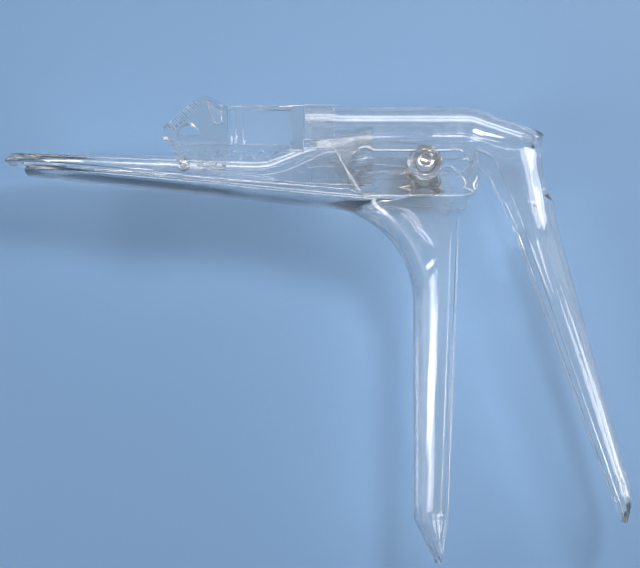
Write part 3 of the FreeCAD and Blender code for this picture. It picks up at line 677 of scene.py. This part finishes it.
def upper_blade():
    """The upper blade, with its cheeks and the lug for the catch's pin."""
    tip = -BLADE_LENGTH
    base_width = 2 * (CHEEK_LOW + WALL - MIDDLE)
    base_x = -3 * BOSS_RADIUS
    flare_x = -HOOD_FRONT - FLARE_LENGTH

    def rim_point(x, rise=0.0):
        return x, parting_height(x) + PARTING_GAP + rise

    web, lengths = rounded_path(
        [(tip, rim_point(tip)[1] + WALL * 0.6), (tip + NOSE_LENGTH, UPPER_CROWN),
         (flare_x, UPPER_CROWN - CROWN_FALL), (FLARE_END - HOOD_FRONT, HOOD_CROWN - FLARE_DROP),
         (base_x, HOOD_CROWN - BASE_DROP)],
        [NOSE_RADIUS, FLARE_START_RADIUS, FLARE_RADIUS],
    )
    rim, _ = rounded_path(
        [rim_point(tip), rim_point(tip + 4.5), rim_point(flare_x),
         rim_point(FLARE_END / 2 - HOOD_FRONT), rim_point(base_x, PARTING_GAP)],
        [GENTLE_BEND] * 3,
    )
    width = blend_values([
        (0, TIP_WIDTH), (0.9, TIP_WIDTH * 1.35), (1.5, TIP_WIDTH * 1.55),
        (2.02, BLADE_WIDTH * 0.8), (2.06, BLADE_WIDTH * 0.93), (2.12, BLADE_WIDTH),
        (3, BLADE_WIDTH), (5, BLADE_WIDTH * 1.05), (6, BLADE_WIDTH * 1.1),
        (6.35, BLADE_WIDTH * 1.14), (7, base_width),
    ])
    lip = blend_values([(0, 0.1), (2.02, 0.3), (2.1, LIP_WIDTH), (2.9, LIP_WIDTH), (3.5, BARE_LIP),
                        (7, BARE_LIP)])
    shell = trough(web, rim, lengths, width, lip, 1.5)
    back = base_x - BOSS_RADIUS
    cheek = prism(
        [(back, rim_point(back)[1] + WALL), (0, -BOSS_RADIUS * 0.9), (BOSS_RADIUS * 0.7, 0),
         (0, BOSS_RADIUS * 0.98), (back, HOOD_CROWN - 12)],
        CHEEK_LOW + EMBED, CHEEK_LOW + WALL - EMBED,
    )
    boss = disc(0, 0, BOSS_RADIUS, CHEEK_LOW, CHEEK_LOW + WALL, 0.3)
    lug_low = MIDDLE + BLADE_WIDTH / 2 - WALL
    lug_high = TOP - CHEEK_THICK - SIDE_GAP
    lug_radius = 2 * CATCH_PIN_RADIUS
    lug = combined(disc(-CATCH_PIN_X, -CATCH_PIN_Y, lug_radius, lug_low, lug_high, 0.2), [
        (CUT, block((-CATCH_PIN_X - 3, SIDE_GAP - 0.1, lug_low - 1),
                    (-CATCH_PIN_X + 3, lug_radius * 2, lug_high + 1)))])
    steps = [(JOIN, both_sides(cheek)), (JOIN, both_sides(boss))]
    steps.append((CUT, disc(0, 0, PIN_RADIUS + SEAT_GAP, -1, TOP + 1)))
    steps.append((JOIN, lug))
    steps.append((CUT, disc(-CATCH_PIN_X, -CATCH_PIN_Y, CATCH_PIN_RADIUS + SEAT_GAP,
                            MIDDLE + BLADE_WIDTH / 2, TOP)))
    piece("upper_blade_moulding", combined(shell, steps), "upper", moulded, "upper_blade")


def slot_outline(grow):
    """Three lobes joined by two necks, all wider by grow, going round clockwise."""
    neck = PIN_RADIUS + SLOT_GAP + grow
    points = []

    def arc(x, radius, first, last):
        for step in range(ARC_STEPS + 1):
            angle = first + (last - first) * step / ARC_STEPS
            points.append((x + radius * math.cos(angle), radius * math.sin(angle)))

    front = ENTRY_RADIUS + grow
    lobe = PIN_RADIUS + LOBE_GAP + grow
    front_meet = math.asin(neck / front)
    meet = math.asin(neck / lobe)
    arc(-SLOT_FRONT, front, 2 * math.pi - front_meet, front_meet)
    arc(0, lobe, math.pi - meet, meet)
    arc(SLOT_BACK, lobe, math.pi - meet, meet - math.pi)
    arc(0, lobe, -meet, meet - math.pi)
    return points


def slot_rim():
    """The raised rim round a slot, before the slot is cut through it."""
    return stack([(TOP - PLATE_RELIEF - EMBED, slot_outline(SLOT_RIM + 0.15)),
                  (TOP - 0.08, slot_outline(SLOT_RIM))])


def slot_cutter():
    """The slot right through both plates, its two mouths chamfered."""
    mouth, bore = slot_outline(SLOT_CHAMFER), slot_outline(0.0)
    return stack([(-0.05, mouth), (SLOT_CHAMFER, bore), (TOP - SLOT_CHAMFER, bore),
                  (TOP + 0.05, mouth)])


def slot_plate():
    """The near slot plate with its raised border, its bottom corners rounded."""
    front = -PLATE_FRONT
    corners = [Vector(p) for p in (
        (0, PLATE_TOP), (front, PLATE_TOP), (front + PLATE_RAKE, -PLATE_FOOT),
        (PLATE_BACK, -PLATE_FOOT), (PLATE_BACK, PLATE_TOP), (0, PLATE_TOP))]
    outline = [corners[1], *softened(corners[1:5], PLATE_CORNER, 6), corners[4]]
    plate = prism([tuple(p) for p in outline], PLATE_LOW, TOP, 0.3)
    edge = PLATE_BORDER
    inner = [Vector(p) for p in (
        (front + edge * 1.3 + 1.2, PLATE_TOP - edge),
        (front + PLATE_RAKE + edge * 0.8, -PLATE_FOOT + edge),
        (PLATE_BACK - edge, -PLATE_FOOT + edge), (PLATE_BACK - edge, PLATE_TOP - edge))]
    ring = inner + inner[:2]
    panel = prism([tuple(p) for p in softened(inner[-1:] + ring[:5], PANEL_CORNER, 5)],
                  TOP - PLATE_RELIEF, TOP + 1)
    return combined(plate, [(CUT, panel), (JOIN, slot_rim())])


def slide_handle():
    """The hood, its two slot plates and the squeeze handle."""
    hood_width = 2 * (MIDDLE - PLATE_STEP)
    end_x, end_y = SQUEEZE_X, -SQUEEZE_Y
    web, lengths = rounded_path(
        [(-HOOD_FRONT, HOOD_CROWN), (HOOD_BACK, HOOD_CROWN), (ELBOW_X, ELBOW_Y),
         (ELBOW_X + ELBOW_LEAN, -ELBOW_Y * 1.5), (end_x, end_y),
         (end_x - SQUEEZE_DEPTH / 3, end_y - SQUEEZE_BEVEL)],
        [HOOD_RADIUS, ELBOW_RADIUS, SWAY_RADIUS, WALL * 2],
    )
    rim, _ = rounded_path(
        [(-HOOD_FRONT, HOOD_RIM), (HOOD_BACK - ELBOW_LEAN, HOOD_RIM),
         (ELBOW_X - ELBOW_DEPTH * 1.8, WALL), (ELBOW_X - ELBOW_DEPTH, -ELBOW_Y * 1.6),
         (end_x - SQUEEZE_DEPTH, end_y + 1.0), (end_x - SQUEEZE_DEPTH / 2, end_y - SQUEEZE_BEVEL)],
        [HOOD_RIM_RADIUS, ELBOW_RADIUS, SWAY_RADIUS, WALL * 2],
    )
    width = blend_values([
        (0, hood_width), (2, hood_width), (3, hood_width * 0.93), (4, hood_width * 0.86),
        (5, HANDLE_TOP_WIDTH), (6, HANDLE_TOP_WIDTH * 0.92), (7, HANDLE_END_WIDTH),
        (8, HANDLE_END_WIDTH * 0.85), (9, HANDLE_TIP_WIDTH),
    ])
    lip = blend_values([(0, BARE_LIP), (4.5, BARE_LIP), (5.5, LIP_WIDTH), (9, LIP_WIDTH)])
    shell = trough(web, rim, lengths, width, lip, -1, 9)
    half = WINDOW_WIDTH / 2
    low, high = ELBOW_Y - WINDOW_HEIGHT, ELBOW_Y
    corners = [Vector(p) for p in ((low, -half), (low, half), (high, half), (high, -half))]
    rounded = softened(corners[-1:] + corners + corners[:1], WINDOW_HEIGHT / 3, 8)
    window = prism([tuple(p) for p in rounded], 0, ELBOW_X)
    for vertex in window.verts:
        along, across, up = vertex.co.z, vertex.co.x, vertex.co.y
        vertex.co = (PLATE_BACK + WINDOW_INSET + along, across, MIDDLE + up)
    bmesh.ops.recalc_face_normals(window, faces=window.faces)
    steps = [(CUT, window)]
    steps.append((JOIN, both_sides(slot_plate())))
    steps.append((CUT, slot_cutter()))
    piece("slide_handle_moulding", combined(shell, steps), "slide", moulded, "slide_handle")


def hinge_pins():
    """The two headed hinge pins, each with a shallow dimple in its end face."""
    head = LUG_LOW - TURN_GAP - PIN_HEAD
    shaft = head + PIN_HEAD
    soft = 0.3
    profile = [
        (0, head), (PIN_HEAD_RADIUS - soft, head),
        (PIN_HEAD_RADIUS - soft * 0.3, head + soft * 0.3),
        (PIN_HEAD_RADIUS, head + soft), (PIN_HEAD_RADIUS, shaft - 0.1),
        (PIN_HEAD_RADIUS - 0.1, shaft), (PIN_RADIUS, shaft), (PIN_RADIUS, TOP - soft),
        (PIN_RADIUS - soft * 0.3, TOP - soft * 0.3), (PIN_RADIUS - soft, TOP),
        (PIN_RADIUS * 0.62, TOP), (PIN_RADIUS * 0.55, TOP - 0.15), (PIN_RADIUS * 0.5, TOP - 0.3),
        (0, TOP - 0.4),
    ]
    near = turned(profile, 0, 0)
    far = flipped_side(near)
    piece("hinge_pin_near_turning", near, "upper", pin_plastic, "hinge_pin_near")
    piece("hinge_pin_far_turning", far, "upper", pin_plastic, "hinge_pin_far")


def ratchet_bar():
    """The toothed bar with its rail, web and post, and the foot pinned to the hood."""
    front, back = -RACK_FRONT, -HOOD_FRONT - SIDE_GAP
    root_front = back - ROOT_LENGTH
    high = RACK_LOW + RACK_WIDTH
    rail_low = RAIL_TOP - RAIL_THICK
    post = POST_INSET - RAIL_FRONT
    foot_low = TOP - PLATE_STEP + SEAT_GAP
    foot_high = foot_low + RAIL_THICK
    bar = block((front, RACK_ROOT, RACK_LOW), (back, RACK_TOP, high), 0.25)
    web = block((-RAIL_FRONT, RACK_TOP - EMBED, RACK_LOW + 0.05),
                (back - 0.1, RAIL_TOP - EMBED, RACK_LOW + RAIL_THICK), 0.2)
    rail = block((-RAIL_FRONT, rail_low, RACK_LOW), (back, RAIL_TOP, high), 0.25)
    upright = block((post, RACK_TOP - EMBED, RACK_LOW + 0.1),
                    (post + POST_WIDTH, rail_low + EMBED, high - 0.1), 0.25)
    root = block((root_front, RACK_ROOT - 0.01, RACK_LOW), (back, RAIL_TOP, foot_high), 0.3)
    foot = block((root_front + 0.2, PLATE_TOP + SIDE_GAP, foot_low),
                 (-FOOT_BACK, RAIL_TOP, foot_high), 0.3)
    half = TOOTH_PITCH * TOOTH_FULLNESS / 2
    tooth = prism([(-half, EMBED), (0, -TOOTH_DEPTH), (half, EMBED)], 0.05, RACK_WIDTH - 0.05, 0.12)
    teeth = rows.copies(tooth, TOOTH_COUNT, (front + TOOTH_PITCH * 0.75, RACK_ROOT, RACK_LOW),
                        (TOOTH_PITCH, 0, 0), catch_plastic)
    steps = [(JOIN, solid) for solid in (web, rail, upright, root, foot, teeth)]
    middle = -(HOOD_FRONT + FOOT_BACK) / 2
    for side in (-1, 1):
        steps.append((JOIN, disc(middle + side * STUD_PITCH / 2, STUD_HEIGHT, STUD_RADIUS,
                                 foot_low - WALL, foot_low + EMBED, 0.15)))
    piece("ratchet_bar_moulding", combined(bar, steps), "slide", catch_plastic, "ratchet_bar",
          sharp=40)


def press_wedge(front, back, press_y, shoulder):
    """The gabled wedge that the thumb presses, its front slant grooved for grip."""
    peak_x, peak_y = -CATCH_PEAK_X, CATCH_PEAK_Y
    low = RACK_LOW - WALL / 2
    outline = [(front, CATCH_FLOOR), (back, CATCH_FLOOR), (back, shoulder),
               (peak_x + CHEEK_THICK, peak_y), (peak_x - CHEEK_THICK, peak_y), (front, press_y)]
    slope = math.atan2(peak_y - press_y, peak_x - CHEEK_THICK - front)
    back_slope = math.atan2(peak_y - shoulder, back - peak_x - CHEEK_THICK)
    top = [
        (front, CATCH_FLOOR), (back, CATCH_FLOOR),
        (back, shoulder - GABLE / math.cos(back_slope)),
        (peak_x + CHEEK_THICK, peak_y - GABLE / math.cos(back_slope)),
        (peak_x - CHEEK_THICK + GABLE / 2, peak_y - GABLE / math.cos(slope) + GABLE / 4),
        (front, press_y - GABLE / math.cos(slope)),
    ]
    wedge = stack([(low, outline), (TOP - GABLE_DROP, outline), (TOP, top)], 0.12)
    along = Vector((math.cos(slope), math.sin(slope), 0))
    down = Vector((-along.y * GABLE, along.x * GABLE, -GABLE_DROP)).normalized()
    out = down.cross(along)
    groove = prism([(-GRIP_PITCH / 3, 1), (GRIP_PITCH / 3, 1), (0, -GRIP_DEPTH)],
                   -1, GABLE + GABLE_DROP)
    turn = Matrix((along, out, down)).transposed()
    bmesh.ops.rotate(groove, verts=groove.verts, cent=(0, 0, 0), matrix=turn)
    bmesh.ops.recalc_face_normals(groove, faces=groove.faces)
    count = int((Vector((peak_x, peak_y)) - Vector((front, press_y))).length / GRIP_PITCH) - 1
    start = Vector((front, press_y, TOP)) - Vector((down.x, down.y, 0)).normalized() * GABLE
    start += along * GRIP_PITCH
    grooves = rows.copies(groove, count, start, along * GRIP_PITCH, catch_plastic)
    return combined(wedge, [(CUT, grooves)])


def thumb_catch():
    """The thumb press with its arched window, and the cheek and pawl under it."""
    front, back = -CATCH_FRONT, -CATCH_BACK
    peak_x, peak_y = -CATCH_PEAK_X, CATCH_PEAK_Y
    shoulder = RAIL_TOP - SIDE_GAP
    cheek_low = TOP - CHEEK_THICK
    wedge = press_wedge(front, back, peak_y - PRESS_SHARE * (peak_y - CATCH_FLOOR), shoulder)
    arch_x = (front + peak_x) / 2 + WALL
    arch_y = CATCH_FLOOR + WALL
    angles = [math.pi * k / ARC_STEPS for k in range(ARC_STEPS + 1)]
    arch = prism([(arch_x + ARCH_RADIUS * math.cos(a), arch_y + ARCH_RADIUS * math.sin(a))
                  for a in angles], 0, TOP + 1)
    hollow = prism(
        [(peak_x + 2 * WALL, arch_y + ARCH_RADIUS), (back - WALL, arch_y + ARCH_RADIUS),
         (back - WALL, shoulder - WALL), (peak_x + CHEEK_THICK, peak_y - 2 * CHEEK_THICK)],
        RACK_LOW, cheek_low, 0.25,
    )
    foot = -CATCH_FOOT
    half = TOOTH_PITCH * TOOTH_FULLNESS / 2
    tips = [TOOTH_PITCH * (index + 0.25) - RACK_FRONT for index in (2, 3)]
    tip_y = RACK_ROOT - TOOTH_DEPTH - SIDE_GAP
    shelf = foot + PAWL_THICK
    reach = half * (tip_y - shelf) / (tip_y - foot)
    pawl_outline = [(tips[0] - half, foot), (tips[-1] + half, foot), (tips[-1] + half, shelf)]
    for x in reversed(tips):
        pawl_outline += [(x + reach, shelf), (x, tip_y), (x - reach, shelf)]
    pawl_outline.append((tips[0] - half, shelf))
    pawl = prism(pawl_outline, RACK_LOW, TOP - 0.1, 0.1)
    pin_side = -CATCH_PIN_X - 2 * CATCH_PIN_RADIUS
    corners = [Vector(p) for p in (
        (pin_side - CATCH_PIN_RADIUS, CATCH_FLOOR + EMBED), (pin_side, -CATCH_PIN_Y),
        (pin_side + CATCH_PIN_RADIUS, foot), (tips[-1] + half, foot), (back, -CATCH_PIN_Y),
        (back, CATCH_FLOOR + EMBED))]
    outline = [corners[0], *softened(corners, 0.6, 4), corners[-1]]
    cheek = prism([tuple(p) for p in outline], cheek_low, TOP, 0.2)
    hole = disc(-CATCH_PIN_X, -CATCH_PIN_Y, CATCH_PIN_RADIUS + TURN_GAP,
                cheek_low - 1, TOP + 1)
    steps = [(CUT, arch), (CUT, hollow), (JOIN, cheek), (JOIN, pawl), (CUT, hole)]
    piece("thumb_catch_moulding", combined(wedge, steps), "catch", catch_plastic, "thumb_catch",
          sharp=40)


def catch_pin():
    """The small headed pin that the thumb catch turns on."""
    low = MIDDLE + BLADE_WIDTH / 2 + SEAT_GAP
    seat = TOP + SEAT_GAP
    top = seat + CATCH_HEAD
    radius = CATCH_PIN_RADIUS
    head = 1.7 * radius
    profile = [(0, low), (radius - 0.15, low), (radius, low + 0.15), (radius, seat), (head, seat),
               (head, seat + 0.3), (head - 0.1, seat + 0.45), (head - 0.4, top - 0.05),
               (head * 0.5, top), (0, top)]
    piece("catch_pin_turning", turned(profile, -CATCH_PIN_X, -CATCH_PIN_Y, sides=36), "upper",
          pin_plastic, "catch_pin")


rows = Row()
lower_valve()
upper_blade()
slide_handle()
hinge_pins()
ratchet_bar()
thumb_catch()
catch_pin()


# The studio
TABLE_DROP = 0.2         # keeps the table clear of the faces that lie on it


def table_top():
    """The plain pale table."""
    mesh = bmesh.new()
    bmesh.ops.create_grid(mesh, x_segments=1, y_segments=1, size=1.5)
    bmesh.ops.translate(mesh, verts=mesh.verts, vec=(0, 0, -TABLE_DROP * MM))
    thing = as_object("table_top", mesh)
    material = bpy.data.materials.new("pale table")
    tree = Tree(material)
    place = tree.add("ShaderNodeTexCoord", output="Object")
    grain = tree.add("ShaderNodeTexNoise", None, Vector=place, Scale=420.0, Detail=4.0)
    bump = tree.add("ShaderNodeBump", None, Strength=0.12, Distance=0.0003, Height=grain)
    surface = tree.add("ShaderNodeBsdfPrincipled", None, Base_Color=(0.21, 0.37, 0.61, 1.0),
                       Roughness=0.55, Normal=bump)
    tree.add("ShaderNodeOutputMaterial", None, Surface=surface)
    thing.data.materials.append(material)


def lamp(name, place, aim, width, height, power, colour=(1.0, 1.0, 1.0), gloss_only=False):
    """A soft rectangular lamp, all in metres and watts. A card shows in gloss alone."""
    light = bpy.data.lights.new(name, "AREA")
    light.shape = "RECTANGLE"
    light.size = width
    light.size_y = height
    light.energy = power
    light.color = colour
    thing = bpy.data.objects.new(name, light)
    bpy.context.scene.collection.objects.link(thing)
    thing.location = place
    thing.rotation_mode = "QUATERNION"
    thing.rotation_quaternion = (Vector(place) - Vector(aim)).to_track_quat("Z", "Y")
    thing.visible_diffuse = not gloss_only
    thing.visible_camera = not gloss_only


WINDOW_WAY = (0.42, 0.50, 0.76)  # where the sky is brightest


def sky():
    """Soft light from all round, brighter from the window's side."""
    world = bpy.data.worlds.new("studio")
    bpy.context.scene.world = world
    tree = Tree(world)
    way = tree.add("ShaderNodeTexCoord", output="Generated")
    window = tree.add("ShaderNodeVectorMath", {"operation": "DOT_PRODUCT"}, way, WINDOW_WAY,
                      output="Value")
    height = tree.add("ShaderNodeSeparateXYZ", None, way, output="Z").maths("ABSOLUTE")
    band = 1.0 - height.between(0.08, 0.42)
    strength = window.between(-0.3, 1.0) * 0.36 + band * 0.8 + 0.14
    glow = tree.add("ShaderNodeBackground", None, Color=(0.92, 0.95, 1.0, 1.0), Strength=strength)
    tree.add("ShaderNodeOutputWorld", None, Surface=glow)


PIXEL = 0.30             # millimetres of the object to one pixel of the photograph
PHOTO_WIDE, PHOTO_HIGH = 640, 568
PIVOT_PX = (425.0, 163.0)
PIVOT_HEIGHT = 33.0      # what is at the photograph's scale, between pin face and middle
CAMERA_ELEVATION = 85.5
CAMERA_DISTANCE = 620.0
SENSOR_WIDTH = 36.0


def camera():
    """The photograph's view: nearly straight down, from the handles' side."""
    data = bpy.data.cameras.new("camera")
    view = bpy.data.objects.new("camera", data)
    bpy.context.scene.collection.objects.link(view)
    bpy.context.scene.camera = view
    data.sensor_width = SENSOR_WIDTH
    data.lens = SENSOR_WIDTH * CAMERA_DISTANCE / (PHOTO_WIDE * PIXEL)
    tilt = math.radians(CAMERA_ELEVATION)
    aim = Vector((
        (PHOTO_WIDE / 2 - PIVOT_PX[0]) * PIXEL,
        (PIVOT_PX[1] - PHOTO_HIGH / 2) * PIXEL / math.sin(tilt),
        PIVOT_HEIGHT,
    ))
    back = Vector((0, -math.cos(tilt), math.sin(tilt)))
    view.location = (aim + back * CAMERA_DISTANCE) * MM
    view.rotation_mode = "QUATERNION"
    view.rotation_quaternion = back.to_track_quat("Z", "Y")
    data.clip_start = 0.01
    data.clip_end = 20.0


table_top()
sky()
lamp("window_light", (0.30, 0.42, 0.72), (-0.02, -0.03, 0), 0.22, 0.18, 3.8)
lamp("right_card", (0.75, -0.02, 0.42), (0.03, -0.02, 0), 0.28, 0.5, 4.0, gloss_only=True)
lamp("front_card", (-0.02, -0.85, 0.09), (-0.02, 0, 0.03), 1.2, 0.16, 5.4, gloss_only=True)
lamp("back_card", (-0.02, 0.85, 0.12), (-0.02, 0, 0.03), 1.2, 0.16, 4.0, gloss_only=True)
lamp("side_light", (-0.6, -0.1, 0.5), (-0.02, -0.03, 0), 0.06, 0.4, 1.0, (1.0, 0.96, 0.9))
camera()
bpy.context.scene.view_settings.view_transform = "Standard"
